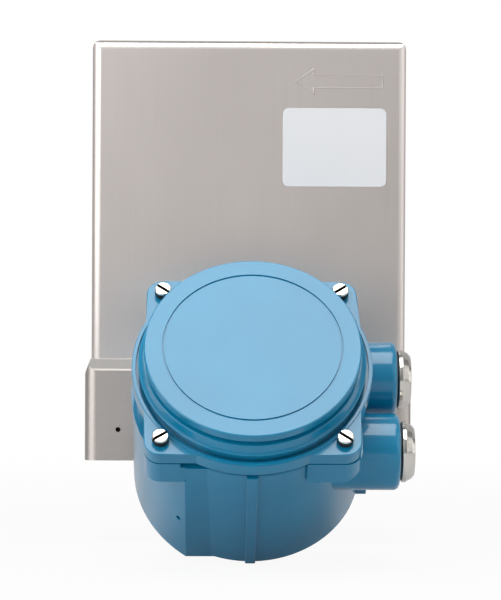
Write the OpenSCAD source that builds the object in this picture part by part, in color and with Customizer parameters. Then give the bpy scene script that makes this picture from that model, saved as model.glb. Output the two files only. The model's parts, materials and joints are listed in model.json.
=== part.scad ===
// Coriolis flow meter: a steel sensor case over two U-shaped flow tubes, with a round
// cast head on a gooseneck in front of it. Millimetres, +Z up, X along the pipe.
// The origin is the centre of the inlet port's mouth, and the meter lies towards -X.

/* [Sensor case] */
// Width of the case, along the pipe
case_w = 178; // [174:1:179]
// Depth of the case, front to back
case_d = 56; // [54:1:57]
// Height of the whole sensor, foot of the shroud to top of the case
sensor_h = 238; // [225:1:280]
// Sheet thickness of the case
case_wall = 1.6; // [1.2:0.1:2.4]
// Radius of the case's formed edges
case_r = 5; // [3:0.5:7]

/* [Base shroud] */
// Width of the shroud, which is the meter's face-to-face length
shroud_w = 185; // [184:1:190]
// Depth of the shroud
shroud_d = 63; // [62:1:68]
// Height of the shroud to the top of its shoulder
shroud_h = 57.6; // [55:0.1:62]
// Drop of the sloped shoulder on the front and back
shoulder_front = 5.7; // [4:0.1:7]
// Drop of the sloped shoulder on the two ends
shoulder_end = 8.6; // [6:0.1:10]
// Pipe axis above the shroud's foot
axis_h = 29; // [28:1:30]
// Depth that the case stands down into the shroud
case_seat = 9; // [7:0.1:9.3]
// Diameter of the weep hole in the front wall
weep_d = 2.8; // [2:0.1:4]

/* [Flow path] */
// Radius of the threaded process ports, at the thread's minor diameter
port_r = 9.3; // [8:0.1:10]
// Depth of the threaded ports
port_len = 18; // [16:1:18]
// Outer diameter of the flow tubes
tube_od = 9.5; // [8:0.5:10]
// Wall of the flow tubes
tube_wall = 0.8; // [0.6:0.1:1.2]
// Half the distance between the two tube planes
tube_y = 12.5; // [12:0.1:13]
// Half the distance between a tube's legs
leg_x = 58; // [56:1:60]
// Height of the tubes' crown above the pipe axis
tube_top = 178; // [150:1:180]
// Bend radius of the tubes
tube_bend = 36; // [28:1:44]
// Height of the brace bars above the pipe axis
brace_z = 34; // [30:1:38]

/* [Neck] */
// Rise of the head's axis above the horizontal, in degrees
head_tilt = 38; // [36:1:40]
// Distance of the head's base in front of the pipe axis
head_fwd = 84; // [82:1:88]
// Drop of the head's base below the pipe axis
head_drop = 29.4; // [28:0.1:31]
// Outer radius of the gooseneck
neck_r = 15; // [14:0.5:16]
// Radius of the wire way through the neck
neck_bore = 9; // [8:0.5:10]
// Radius of the gooseneck's bend, at its centre line
neck_bend = 34; // [33:0.5:35]

/* [Head] */
// Radius of the housing's round body at its base
body_r = 59.6; // [59:0.1:60]
// Growth of the body's radius from its base to the ledge, the draft of the casting
body_draft = 1; // [0.5:0.1:1.2]
// Radius of the swollen left flank
flank_r = 68.9; // [68:0.1:70]
// Distance of the flank's flat faces from the axis
flank_flat = 55.9; // [55.5:0.1:56.5]
// Height of the flank
flank_h = 72; // [71.5:0.5:78]
// Height of the housing from its base to its rim
rim_z = 87; // [86.5:0.1:88]
// Open seam between the housing's rim and the cover
seam = 0.7; // [0.5:0.1:1]
// Inner radius of the housing
cavity_r = 52; // [51.5:0.1:52.5]
// Thickness of the housing's floor
floor_t = 6; // [5:0.5:7]
// Half the pitch of the cover screws
screw_p = 46.7; // [46:0.1:47.2]
// Half the width of the square corner ears
ear_half = 55.3; // [55:0.1:56]
// Height of the ears
ear_h = 16.1; // [15.5:0.1:17]
// Radius of the flange on the cover
flange_r = 62.3; // [62:0.1:62.6]
// Thickness of the flange on the cover
flange_t = 8.1; // [7.5:0.1:8.5]
// Height of the cover's top above the housing's base
cover_top = 113; // [111:0.5:116]

/* [Conduit entries] */
// Height of the entries above the housing's base
entry_z = 51.8; // [51:0.1:53]
// Half the distance between the two entries
entry_y = 23.3; // [23:0.1:24]
// Radius of the entry bosses
boss_r = 20.1; // [19.5:0.1:20.5]
// Reach of the bosses from the head's axis
boss_x = 77.5; // [76:0.1:79]
// Radius of the threaded entries
entry_r = 12.5; // [12:0.1:12.5]

/* [Hidden] */

steel = "#b9b5b1";
bright_steel = "#cfcdc8";
cast_steel = "#9d9a94";
enamel = "#3d84ab";
nickel = "#d3cfc8";
black = "#22242a";

gap = 0.3;                 // between pieces of different bodies
running = 0.05;            // radial clearance of a pin in its bore
half_w = shroud_w / 2;
foot_z = -axis_h;
case_foot = foot_z + shroud_h - case_seat;
case_top = foot_z + sensor_h;
shroud_wall = 2;
plate_t = 2;

block_half_z = 16;         // manifold block, half height
block_half_y = 22;
block_x0 = 36;             // inner face of a manifold block
block_x1 = 78;
boss_port_r = 19;          // round end of a manifold, around its port
socket_z = 8;              // floor of the tube sockets
socket_clear = 0.1;

tube_r = tube_od / 2;
crown_z = tube_top;
brace_t = 3;
pickoff_z = 132;
coil_r = 7;

foot_flange_t = 8;
neck_flange_r = 23;
neck_flange_t = 4;
hub_r = 17;
hub_h = 10;
joint_gap = 0.3;
neck_end = -hub_h - joint_gap;               // local height of the neck's end face
clamp_low = neck_end - neck_flange_t;        // inner faces of the clamp ring's two lips
clamp_high = neck_flange_t - hub_h + 0.2;
clamp_screw_y = 31;
bolt_x = 23;                                 // bolts of the neck's foot
bolt_y = 14;
bend_z = -head_drop                          // height of the bend's centre
  + (neck_bend + (neck_bend - head_fwd) * sin(head_tilt)) / cos(head_tilt);
bend_sweep = 90 + head_tilt;
// Distance from the end of the bend to the head's base, along the head's axis
straight_len = (head_fwd - neck_bend - neck_bend * sin(head_tilt)) * cos(head_tilt)
  + (-head_drop - bend_z + neck_bend * cos(head_tilt)) * sin(head_tilt);

ear_r = ear_half - screw_p;
ledge_z = rim_z - 3.2;                       // top of the body, below its upright rim
flank_x = 6;                                 // centre of the flank's round
flange_z = rim_z + seam;                     // underside of the cover's flange
flange_top = flange_z + flange_t;
moat_r = 57.7;                               // foot of the dome, inside the flange's lip
cover_bore = 50;
cover_wall = 4;
spigot_h = 6;
screw_r = 2.5;
head_r = 4.3;
head_h = 3.4;
screw_len = 20;
slot_w = 1.4;
slot_d = 1.9;
washer_t = 1;                                // sealing washers under the cover screws
seal_r = 1;
seal_pitch_r = 55.2;
seal_lift = seam - gap;                      // the seal's height above the rim
module_z = 10;
module_h = 24;
module_r = 47;
module_screw_r = 41;
tab_x = 54.6;              // earthing screw in the tab's underside
tab_y = -10;
tab_end = 63;
tab_t = 4.2;
plug_gasket_t = 1;
plug_rim_r = 15.95;
plug_face_r = 12.4;
plug_t = 6.8;
eps = 0.01;

// ---- frames ---------------------------------------------------------------

// The meter's own centre line stands half its length behind the inlet port
module meter() { translate([-half_w, 0, 0]) children(); }

// The head's frame: z along the head's axis from the base, y up its back
module head() { meter() head_axis() children(); }

// The same axis, seen from the meter's centre line
module head_axis() {
  translate([0, -head_fwd, -head_drop]) rotate([90 - head_tilt, 0, 0]) children();
}

// Turns a shape made along +z so that it runs along +x
module along_x() { rotate([0, 90, 0]) children(); }

// Both sides of the centre plane, left and right
module both_sides() {
  children();
  mirror([1, 0, 0]) children();
}

// ---- outlines -------------------------------------------------------------

// Rectangle with round corners
module round_rect(w, h, r) {
  square([w - 2 * r, h], center = true);
  square([w, h - 2 * r], center = true);
  for (x = [-1, 1], y = [-1, 1])
    translate([x * (w / 2 - r), y * (h / 2 - r)]) circle(r = r, $fn = 48);
}

// Points of a quarter round from angle a0, about (x, y)
function arc(x, y, r, a0, a1, n = 6) =
  [for (i = [0 : n]) let (a = a0 + (a1 - a0) * i / n) [x + r * cos(a), y + r * sin(a)]];

// ---- sensor case ----------------------------------------------------------

// Box with round edges at its sides and top, open downwards from z = 0
module case_form(w, d, h, r) {
  intersection() {
    linear_extrude(h) round_rect(w, d, r);
    rotate([90, 0, 0]) linear_extrude(d + 2, center = true) round_rect(w, 2 * h, r);
    rotate([90, 0, 90]) linear_extrude(w + 2, center = true) round_rect(d, 2 * h, r);
  }
}

module sensor_case() {
  h = case_top - case_foot;
  color(steel) meter() translate([0, 0, case_foot]) difference() {
    case_form(case_w, case_d, h, case_r);
    translate([0, 0, -1])
      case_form(case_w - 2 * case_wall, case_d - 2 * case_wall, h + 1 - case_wall,
                case_r - case_wall);
  }
}

// Solid outer form of the shroud, shrunk by t on every side
module shroud_form(t) {
  w = shroud_w / 2 - t;
  d = shroud_d / 2 - t;
  h = shroud_h - t;
  bead = 0.4;
  top_w = case_w / 2 + 0.3 - t;
  top_d = case_d / 2 + 0.3 - t;
  intersection() {
    linear_extrude(h) round_rect(2 * w, 2 * d, 6.5 - t);
    rotate([90, 0, 0]) linear_extrude(shroud_d + 2, center = true) polygon([
      [-w, 0], [w, 0], [w, h - shoulder_end], [top_w, h], [-top_w, h], [-w, h - shoulder_end],
    ]);
    rotate([90, 0, 90]) linear_extrude(shroud_w + 2, center = true) polygon([
      [-d, 0], [d, 0], [d, h - shoulder_front - 1], [d - bead, h - shoulder_front],
      [top_d, h], [-top_d, h], [bead - d, h - shoulder_front], [-d, h - shoulder_front - 1],
    ]);
  }
}

module base_shroud() {
  color(steel) meter() translate([0, 0, foot_z]) difference() {
    shroud_form(0);
    translate([0, 0, -eps]) shroud_form(shroud_wall);
    translate([0, 0, shroud_h - case_seat]) linear_extrude(20) round_rect(case_w, case_d, case_r);
    translate([0, 0, axis_h]) along_x() cylinder(r = boss_port_r + 0.1, h = shroud_w + 4,
                                                 center = true, $fn = 96);
    translate([-73.5, -shroud_d / 2 - 1, 17.5]) rotate([-90, 0, 0])
      cylinder(d = weep_d, h = shroud_wall + 2, $fn = 24);
  }
}

// Closing plate inside the shroud's foot, cut out around the neck's foot
module bottom_plate() {
  color(steel) meter() translate([0, 0, foot_z]) linear_extrude(plate_t) difference() {
    round_rect(shroud_w - 2 * shroud_wall, shroud_d - 2 * shroud_wall, 4.5);
    round_rect(64, 46, 8);
  }
}

module name_plate() {
  color("white") meter() translate([48.3, -case_d / 2, foot_z + 177.8])
    rotate([90, 0, 0]) linear_extrude(0.3) round_rect(58.7, 44.4, 3.5);
}

// ---- flow path ------------------------------------------------------------

// Cast flow splitter: one threaded port in, two tube sockets out
module manifold() {
  color(cast_steel) difference() {
    union() {
      translate([(block_x0 + block_x1) / 2, 0, -block_half_z])
        linear_extrude(2 * block_half_z)
          round_rect(block_x1 - block_x0, 2 * block_half_y, 5);
      translate([block_x0 + 6, 0, 0]) along_x()
        cylinder(r = boss_port_r, h = half_w - block_x0 - 6, $fn = 96);
      for (y = [-tube_y, tube_y])
        translate([leg_x, y, block_half_z - eps]) cylinder(r1 = 8.5, r2 = 7.5, h = 4, $fn = 48);
    }
    translate([half_w - port_len, 0, 0]) along_x() cylinder(r = port_r, h = port_len + 1, $fn = 96);
    translate([leg_x, 0, 0]) along_x() cylinder(r = 5, h = half_w - leg_x - port_len + 1, $fn = 48);
    translate([leg_x, 0, 0]) rotate([90, 0, 0])
      cylinder(r = 4, h = 2 * tube_y, center = true, $fn = 48);
    for (y = [-tube_y, tube_y]) translate([leg_x, y, 0]) {
      sphere(r = 4, $fn = 48);
      cylinder(r = 4, h = socket_z + 1, $fn = 48);
      translate([0, 0, socket_z]) cylinder(r = tube_r + socket_clear, h = 20, $fn = 48);
    }
  }
}

module inlet_manifold() { meter() manifold(); }

module outlet_manifold() { meter() mirror([1, 0, 0]) manifold(); }

// Runs its children at the four bolts of the neck's foot
module at_neck_bolts() {
  for (x = [-bolt_x, bolt_x], y = [-bolt_y, bolt_y]) translate([x, y, 0]) children();
}

// Hollow cast piece that joins the two manifolds and carries the neck
module manifold_spacer() {
  wall = 4;
  color(cast_steel) meter() difference() {
    translate([-block_x0, -block_half_y, -block_half_z])
      cube([2 * block_x0, 2 * block_half_y, 2 * block_half_z]);
    difference() {
      translate([wall - block_x0, wall - block_half_y, wall - block_half_z])
        cube([2 * (block_x0 - wall), 2 * (block_half_y - wall), 2 * (block_half_z - wall)]);
      at_neck_bolts() translate([0, 0, -block_half_z]) cylinder(r = 6, h = 12, $fn = 48);
    }
    cylinder(r = 12, h = block_half_z + 1, $fn = 48);
    translate([0, 0, -block_half_z - 1]) cylinder(r = 11.5, h = wall + 2, $fn = 96);
    at_neck_bolts() translate([0, 0, -block_half_z - 1]) cylinder(r = 2.6, h = 12, $fn = 48);
  }
}

// U-shaped tube in its own plane; r is the radius of what is swept
module u_sweep(r, z0) {
  corner_x = leg_x - tube_bend;
  both_sides() {
    translate([leg_x, 0, z0]) cylinder(r = r, h = crown_z - tube_bend - z0, $fn = 48);
    translate([corner_x, 0, crown_z - tube_bend]) rotate([90, 0, 0])
      rotate_extrude(angle = 90, $fn = 96) translate([tube_bend, 0]) circle(r = r, $fn = 48);
  }
  translate([-corner_x, 0, crown_z]) along_x() cylinder(r = r, h = 2 * corner_x, $fn = 48);
}

module flow_tube(y) {
  color(bright_steel) meter() translate([0, y, 0]) difference() {
    u_sweep(tube_r, socket_z + 0.2);
    u_sweep(tube_r - tube_wall, socket_z - 1);
  }
}

module front_flow_tube() { flow_tube(-tube_y); }

module rear_flow_tube() { flow_tube(tube_y); }

// Bar across both legs on one side: the line about which the tubes swing
module brace_bar() {
  color(steel) translate([leg_x, 0, brace_z - brace_t / 2]) difference() {
    linear_extrude(brace_t) round_rect(19, 2 * tube_y + 19, 6);
    for (y = [-tube_y, tube_y]) translate([0, y, -1])
      cylinder(r = tube_r + 0.02, h = brace_t + 2, $fn = 48);
  }
}

module right_brace_bar() { meter() brace_bar(); }

module left_brace_bar() { meter() mirror([1, 0, 0]) brace_bar(); }

// Wound coil on its saddle, facing +y from the front tube's inner side at y = 0.
// tilt turns the saddle's hollow to the tube's run.
module coil(tilt) {
  saddle_t = 3.5;
  difference() {
    translate([0, -2, 0]) rotate([-90, 0, 0]) linear_extrude(saddle_t + 2)
      round_rect(12, 12, 2);
    translate([0, -tube_r, 0]) rotate([0, tilt, 0])
      cylinder(r = tube_r, h = 30, center = true, $fn = 48);
  }
  translate([0, saddle_t - eps, 0]) rotate([-90, 0, 0]) difference() {
    cylinder(r = coil_r, h = 5, $fn = 48);
    translate([0, 0, 1]) difference() {
      cylinder(r = coil_r + 1, h = 3, $fn = 48);
      cylinder(r = coil_r - 0.8, h = 3, $fn = 48);
    }
    translate([0, 0, -1]) cylinder(r = 4.2, h = 8, $fn = 48);
  }
}

// Magnet on its saddle, facing -y from the rear tube's inner side at y = 0
module magnet(tilt) {
  saddle_t = 3;
  difference() {
    translate([0, 2, 0]) rotate([90, 0, 0]) linear_extrude(saddle_t + 2) round_rect(12, 12, 2);
    translate([0, tube_r, 0]) rotate([0, tilt, 0])
      cylinder(r = tube_r, h = 30, center = true, $fn = 48);
  }
  translate([0, eps - saddle_t, 0]) rotate([90, 0, 0]) cylinder(r = 3, h = 6.5, $fn = 48);
}

module drive_coil() {
  color("#8a4b2a") meter() translate([0, -tube_y + tube_r, crown_z]) coil(90);
}

module drive_magnet() {
  color("#6f7276") meter() translate([0, tube_y - tube_r, crown_z]) magnet(90);
}

module pickoff_coil(side) {
  color("#8a4b2a") meter() translate([side * leg_x, -tube_y + tube_r, pickoff_z]) coil(0);
}

module pickoff_magnet(side) {
  color("#6f7276") meter() translate([side * leg_x, tube_y - tube_r, pickoff_z]) magnet(0);
}

module left_pickoff_coil() { pickoff_coil(-1); }

module left_pickoff_magnet() { pickoff_magnet(-1); }

module right_pickoff_coil() { pickoff_coil(1); }

module right_pickoff_magnet() { pickoff_magnet(1); }

// Small resistance element strapped to the front tube's inlet leg
module temperature_sensor() {
  color("#d9d4c6") meter() translate([leg_x, -tube_y, 60]) {
    difference() {
      cylinder(r = tube_r + 0.6, h = 12, $fn = 48);
      translate([0, 0, -1]) cylinder(r = tube_r, h = 14, $fn = 48);
    }
    translate([0, -tube_r - 1.6, 0]) linear_extrude(12) round_rect(5, 2.4, 0.6);
  }
}

// ---- neck -----------------------------------------------------------------

// The bend of the gooseneck as a swept round of radius r
module neck_arc(r) {
  translate([0, -neck_bend, bend_z]) rotate([90, 0, 90]) rotate([0, 0, -bend_sweep])
    rotate_extrude(angle = bend_sweep, $fn = 96) translate([neck_bend, 0]) circle(r = r, $fn = 48);
}

// The head's axis, with z = 0 at the end of the bend
module after_bend() { head_axis() translate([0, 0, -straight_len]) children(); }

// Cast gooseneck: bolted foot, bend, and a turned stub that ends in the clamp flange
module sensor_neck() {
  top_z = -block_half_z - 1;                 // a 1 mm gasket lies between foot and spacer
  under_z = top_z - foot_flange_t;
  stub_r = neck_r + 1.2;
  stub_h = straight_len + neck_end;          // from the end of the bend to the neck's end face
  color(cast_steel) meter() difference() {
    union() {
      translate([0, 0, under_z]) linear_extrude(foot_flange_t) round_rect(60, 42, 7);
      translate([0, 0, under_z - 4]) cylinder(r1 = stub_r, r2 = stub_r + 2, h = 5, $fn = 96);
      neck_arc(neck_r);
      after_bend() {
        translate([0, 0, -3]) cylinder(r = stub_r, h = stub_h + 2, $fn = 96);
        translate([0, 0, stub_h - neck_flange_t - 5])
          cylinder(r1 = stub_r, r2 = 19, h = 5 + eps, $fn = 96);
        translate([0, 0, stub_h - neck_flange_t])
          cylinder(r = neck_flange_r, h = neck_flange_t, $fn = 96);
      }
    }
    translate([0, 0, bend_z - 2]) cylinder(r = neck_bore + 0.5, h = 30, $fn = 96);
    neck_arc(neck_bore);
    after_bend() {
      translate([0, 0, -2]) cylinder(r = neck_bore + 0.5, h = stub_h + 4, $fn = 96);
      translate([0, 0, stub_h - 6]) cylinder(r = 13, h = 8, $fn = 96);
    }
    at_neck_bolts() translate([0, 0, under_z - 1])
      cylinder(r = 2.8, h = foot_flange_t + 2, $fn = 48);
  }
}

module neck_gasket() {
  color(black) meter() translate([0, 0, -block_half_z - 1]) linear_extrude(1) difference() {
    round_rect(60, 42, 7);
    circle(r = 11.5, $fn = 96);
    at_neck_bolts() circle(r = 2.8, $fn = 48);
  }
}

// Four socket-head screws that hold the neck's foot up against the spacer
module neck_bolts() {
  under = -block_half_z - 1 - foot_flange_t;
  color(bright_steel) meter() at_neck_bolts() translate([0, 0, under]) difference() {
    union() {
      cylinder(r = 2.5, h = foot_flange_t + 9, $fn = 48);
      translate([0, 0, -4]) cylinder(r = 4.25, h = 4, $fn = 48);
    }
    translate([0, 0, -5]) cylinder(r = 2.3, h = 3.5, $fn = 6);
  }
}

// Sealed glass header that takes the sensor's wires out of the case
module feedthrough() {
  color("#a9adb0") meter() translate([0, 0, -block_half_z]) {
    cylinder(r = 11.4, h = 4, $fn = 96);
    for (i = [0 : 8]) rotate([0, 0, 40 * i]) translate([7.5, 0, -eps])
      cylinder(r = 0.5, h = 9, $fn = 16);
  }
}

// Sheathed nine-wire cable through the neck, from the header to the core module, with a
// sleeve where the bend meets each straight end
module sensor_cable() {
  cable_r = 3.2;
  sleeve_r = 3.9;
  color("#3a3f46") meter() {
    neck_arc(cable_r);
    translate([0, 0, bend_z - 3]) cylinder(r = sleeve_r, h = -block_half_z - bend_z + 3, $fn = 48);
    after_bend() {
      translate([0, 0, -3]) cylinder(r = sleeve_r, h = 10, $fn = 48);
      translate([0, 0, 5]) cylinder(r = cable_r, h = straight_len - 8, $fn = 48);
      translate([0, 0, straight_len - 4]) cylinder(r = 5.5, h = module_z + 4 - gap, $fn = 48);
    }
  }
}

// Split ring with two inner lips that grips the neck's flange and the housing's
module clamp_ring() {
  lip_r = 19.5;
  ring_r = 27;
  lip_t = 2.5;
  ring_h = clamp_high - clamp_low + 2 * lip_t;
  color(bright_steel) head() difference() {
    union() {
      translate([0, 0, clamp_low - lip_t]) cylinder(r = ring_r, h = ring_h, $fn = 96);
      translate([-8, ring_r - 3, clamp_low - lip_t]) cube([16, 12, ring_h]);
    }
    translate([0, 0, clamp_low - lip_t - 1]) cylinder(r = lip_r, h = ring_h + 2, $fn = 96);
    translate([0, 0, clamp_low])
      cylinder(r = neck_flange_r + gap, h = clamp_high - clamp_low, $fn = 96);
    translate([-1.5, 0, clamp_low - lip_t - 1]) cube([3, 50, ring_h + 2]);
    translate([0, clamp_screw_y, (clamp_low + clamp_high) / 2]) along_x()
      cylinder(r = 2.6, h = 40, center = true, $fn = 48);
  }
}

module clamp_screw() {
  color(bright_steel) head() translate([-8, clamp_screw_y, (clamp_low + clamp_high) / 2])
    along_x() difference() {
      union() {
        cylinder(r = 2.5, h = 18, $fn = 48);
        translate([0, 0, -4]) cylinder(r = 4.25, h = 4, $fn = 48);
      }
      translate([0, 0, -5]) cylinder(r = 2.3, h = 3.5, $fn = 6);
    }
}

// ---- head -----------------------------------------------------------------

// Runs its children at the module's three screws, in the head's frame
module at_module_screws() {
  for (a = [30, 150, 270]) rotate([0, 0, a]) translate([module_screw_r, 0, 0]) children();
}

// Runs its children at the four cover screws, in the head's frame
module at_cover_screws() {
  for (x = [-1, 1], y = [-1, 1]) translate([x * screw_p, y * screw_p, 0]) children();
}

// Square outline with round corners that housing and cover share. Above the entries its
// side leans out to meet the round; right widens it on that side.
module corner_plan(right = 0) {
  lean = 1.6;
  translate([right / 2, 0]) round_rect(2 * ear_half + right, 2 * ear_half, ear_r);
  polygon([[50, screw_p], [ear_half + right, screw_p], [ear_half + right + lean, 24], [50, 24]]);
}

// Corner ears below the cover's flange. The two on the entry side are wider, and the
// front one of them slopes up to its outer edge.
module ears() {
  left_in = 36.6;
  right_in = 27.9;
  right_out = 0.8;
  inner_y = 30;
  slope_x = 47.8;
  slope_h = 6;
  translate([0, 0, rim_z - ear_h]) difference() {
    linear_extrude(ear_h) intersection() {
      corner_plan(right_out);
      for (y = [inner_y, -ear_half]) {
        translate([-ear_half, y]) square([ear_half - left_in, ear_half - inner_y]);
        translate([right_in, y]) square([ear_half + 3 - right_in, ear_half - inner_y]);
      }
    }
    rotate([90, 0, 0]) linear_extrude(ear_half + 1)
      polygon([[slope_x, -1], [slope_x, 0], [ear_half + 1, slope_h], [ear_half + 1, -1]]);
  }
}

// Swollen flank on the left: a larger round cut by two flats. The flats run on beside the
// body up to the ledge, as far as the ears.
module flank() {
  flat_x = 34;
  step_x = 37;
  linear_extrude(flank_h) intersection() {
    translate([flank_x, 0]) circle(r = flank_r, $fn = 144);
    translate([-flank_r, -flank_flat]) square([flank_r, 2 * flank_flat]);
  }
  translate([-flat_x, -flank_flat, 0]) cube([flat_x, 2 * flank_flat, ledge_z]);
  translate([-step_x, 0.1 - ear_half, rim_z - ear_h])
    cube([step_x, 2 * ear_half - 0.2, ledge_z - rim_z + ear_h]);
}

// Round entry boss along +x with a rounded end
module entry_boss() {
  edge = 3;
  along_x() rotate_extrude($fn = 96) polygon(concat(
    [[0, 30], [boss_r, 30]],
    arc(boss_r - edge, boss_x - edge, edge, 0, 90),
    [[0, boss_x]]
  ));
}

// Front rib, a little narrower at its foot, which stands off the body by the same all the way
module front_rib() {
  reach = 1.6;
  foot_half = 2.7;
  top_half = 3;
  foot_slope = 1.5;
  intersection() {
    rotate([90, 0, 0]) linear_extrude(body_r + 10)
      polygon([[-foot_half, 0], [foot_half, 0], [top_half, ledge_z], [-top_half, ledge_z]]);
    rotate([90, 0, 90]) linear_extrude(4 * top_half, center = true) polygon([
      [-50, 0], [foot_slope - reach - body_r, 0], [-body_r - reach, foot_slope],
      [-body_r - reach - body_draft, ledge_z], [-50, ledge_z],
    ]);
  }
}

module housing() {
  pilot_z = rim_z - 14;
  collar_r = 58.5;
  edge = 0.6;
  top_r = body_r + body_draft;
  color(enamel) head() difference() {
    union() {
      rotate_extrude($fn = 144) polygon([
        [0, 0], [body_r - 1, 0], [body_r, 1], [top_r, ledge_z - edge], [top_r - edge, ledge_z],
        [collar_r, ledge_z], [collar_r, rim_z], [0, rim_z],
      ]);
      flank();
      ears();
      front_rib();
      for (y = [-entry_y, entry_y]) translate([0, y, entry_z]) entry_boss();
      // earthing tab at the base's right edge
      translate([50, tab_y - 6, 0]) cube([tab_end - 50, 12, tab_t]);
      // hub and flange that turn on the neck
      translate([0, 0, -hub_h]) cylinder(r = hub_r, h = hub_h + 1, $fn = 96);
      translate([0, 0, -hub_h]) cylinder(r = neck_flange_r, h = neck_flange_t, $fn = 96);
      translate([0, 0, -hub_h - 5]) cylinder(r = 13 - running, h = 6, $fn = 96);
    }
    difference() {
      translate([0, 0, floor_t]) cylinder(r = cavity_r, h = rim_z, $fn = 144);
      at_module_screws() cylinder(r = 4.5, h = module_z, $fn = 48);
    }
    at_module_screws() translate([0, 0, floor_t - 4]) cylinder(r = 2 + running, h = 10, $fn = 48);
    translate([0, 0, -hub_h - 6]) cylinder(r = 8, h = hub_h + floor_t + 8, $fn = 96);
    for (y = [-entry_y, entry_y]) translate([40, y, entry_z]) along_x()
      cylinder(r = entry_r, h = boss_x, $fn = 96);
    at_cover_screws() translate([0, 0, pilot_z]) cylinder(r = screw_r + running, h = 20, $fn = 48);
    // seat of the cover seal in the rim
    translate([0, 0, rim_z + seal_lift - 2 * seal_r]) difference() {
      cylinder(r = seal_pitch_r + 1.2, h = 5, $fn = 144);
      translate([0, 0, -1]) cylinder(r = seal_pitch_r - 1.2, h = 7, $fn = 144);
    }
    // small drilled hole in the left flank
    translate([flank_x, 0, 33.4]) rotate([0, 0, 230.3]) translate([flank_r - 4, 0, 0]) along_x()
      cylinder(r = 1.5, h = 8, $fn = 24);
    translate([tab_x, tab_y, -1]) cylinder(r = 2 + running, h = 10, $fn = 48);
  }
}

module cover_seal() {
  color(black) head() translate([0, 0, rim_z + seal_lift - seal_r]) rotate_extrude($fn = 144)
    translate([seal_pitch_r, 0]) circle(r = seal_r, $fn = 24);
}

// Potted electronics that fill the lower half of the housing
module core_module() {
  color("#2c3138") head() translate([0, 0, module_z]) difference() {
    union() {
      rotate_extrude($fn = 96) polygon([
        [0, 0], [module_r, 0], [module_r, module_h - 2], [module_r - 2, module_h], [0, module_h],
      ]);
      translate([-24, 18, module_h - eps]) cube([48, 14, 3]);
    }
    at_module_screws() {
      translate([0, 0, -1]) cylinder(r = 2.2, h = 40, $fn = 48);
      translate([0, 0, 6]) cylinder(r = 4.2, h = 40, $fn = 48);
    }
  }
}

module module_screws() {
  color(bright_steel) head() at_module_screws() translate([0, 0, module_z + 6]) difference() {
    union() {
      cylinder(r = 3.6, h = 3, $fn = 48);
      translate([0, 0, -12]) cylinder(r = 2, h = 13, $fn = 48);
    }
    translate([-4, -0.5, 2]) cube([8, 1, 2]);
  }
}

// Row of wiring clamps on the module
module terminal_block() {
  poles = 8;
  pitch = 6;
  block_h = 11;
  color("#4a5a3c") head() translate([-poles * pitch / 2, -10, module_z + module_h]) difference() {
    cube([poles * pitch, 12, block_h]);
    for (i = [0 : poles - 1]) translate([(i + 0.5) * pitch, 0, 0]) {
      translate([0, 7.5, block_h - 3]) cylinder(r = 2.1, h = 4, $fn = 24);
      translate([-2, -1, 2]) cube([4, 5, 4]);
    }
  }
}

// Earthing screw with its washer, driven up into the base
module ground_screw() {
  color(bright_steel) head() translate([tab_x, tab_y, 0]) {
    cylinder(r = 2, h = 8, $fn = 48);
    translate([0, 0, -0.8]) cylinder(r = 3.8, h = 0.8, $fn = 48);
    translate([0, 0, -3.2]) difference() {
      cylinder(r = 3.2, h = 2.5, $fn = 48);
      translate([-4, -0.5, -1]) cube([8, 1, 2]);
    }
  }
}

// Turned profile of the cover above its flange: a flared band, a cove, a wall and a rim
// over a deep groove
module cover_dome() {
  edge = 0.9;
  rim_r = 55.8;
  groove_r = 53.8;
  rotate_extrude($fn = 144) polygon(concat(
    [[0, flange_z], [moat_r, flange_z], [moat_r, flange_top + 0.5], [58.2, flange_top + 0.5],
     [58.9, flange_top + 4.5], [57.5, flange_top + 4.9], [57, flange_top + 7],
     [56.5, cover_top - 7.8], [groove_r, cover_top - 7.6], [groove_r, cover_top - 5.3],
     [rim_r, cover_top - 5.1]],
    arc(rim_r - edge, cover_top - edge, edge, 0, 90),
    [[0, cover_top]]
  ));
}

module cover() {
  groove_r = 45.9;
  groove_w = 0.9;
  lip_r = 61.9;
  lip_in = 60.2;
  lip_h = 0.5;
  moat_d = 2.2;
  color(enamel) head() difference() {
    union() {
      translate([0, 0, flange_z]) linear_extrude(flange_t) {
        circle(r = flange_r, $fn = 144);
        corner_plan();
      }
      translate([0, 0, flange_top - 1]) cylinder(r = lip_r, h = 1 + lip_h, $fn = 144);
      cover_dome();
      translate([0, 0, flange_z - spigot_h]) cylinder(r = cavity_r - gap, h = spigot_h + 1, $fn = 144);
    }
    translate([0, 0, flange_z - spigot_h - 1])
      cylinder(r = cover_bore, h = cover_top - cover_wall - flange_z + spigot_h + 1, $fn = 144);
    // dark moat between the lip and the dome
    rotate_extrude($fn = 144) polygon([
      [moat_r, flange_top - moat_d], [lip_in, flange_top - moat_d],
      [lip_in, flange_top + lip_h], [moat_r, flange_top + lip_h],
    ]);
    translate([0, 0, cover_top - 0.7]) difference() {
      cylinder(r = groove_r + groove_w / 2, h = 2, $fn = 144);
      translate([0, 0, -1]) cylinder(r = groove_r - groove_w / 2, h = 4, $fn = 144);
    }
    at_cover_screws() translate([0, 0, flange_z - 1]) cylinder(r = screw_r + gap, h = 20, $fn = 48);
  }
}

// Black sealing washers under the heads of the cover screws
module screw_washers() {
  color(black) head() at_cover_screws() translate([0, 0, flange_top]) difference() {
    cylinder(r = head_r - 0.3, h = washer_t, $fn = 48);
    translate([0, 0, -1]) cylinder(r = screw_r + gap, h = washer_t + 2, $fn = 48);
  }
}

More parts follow.
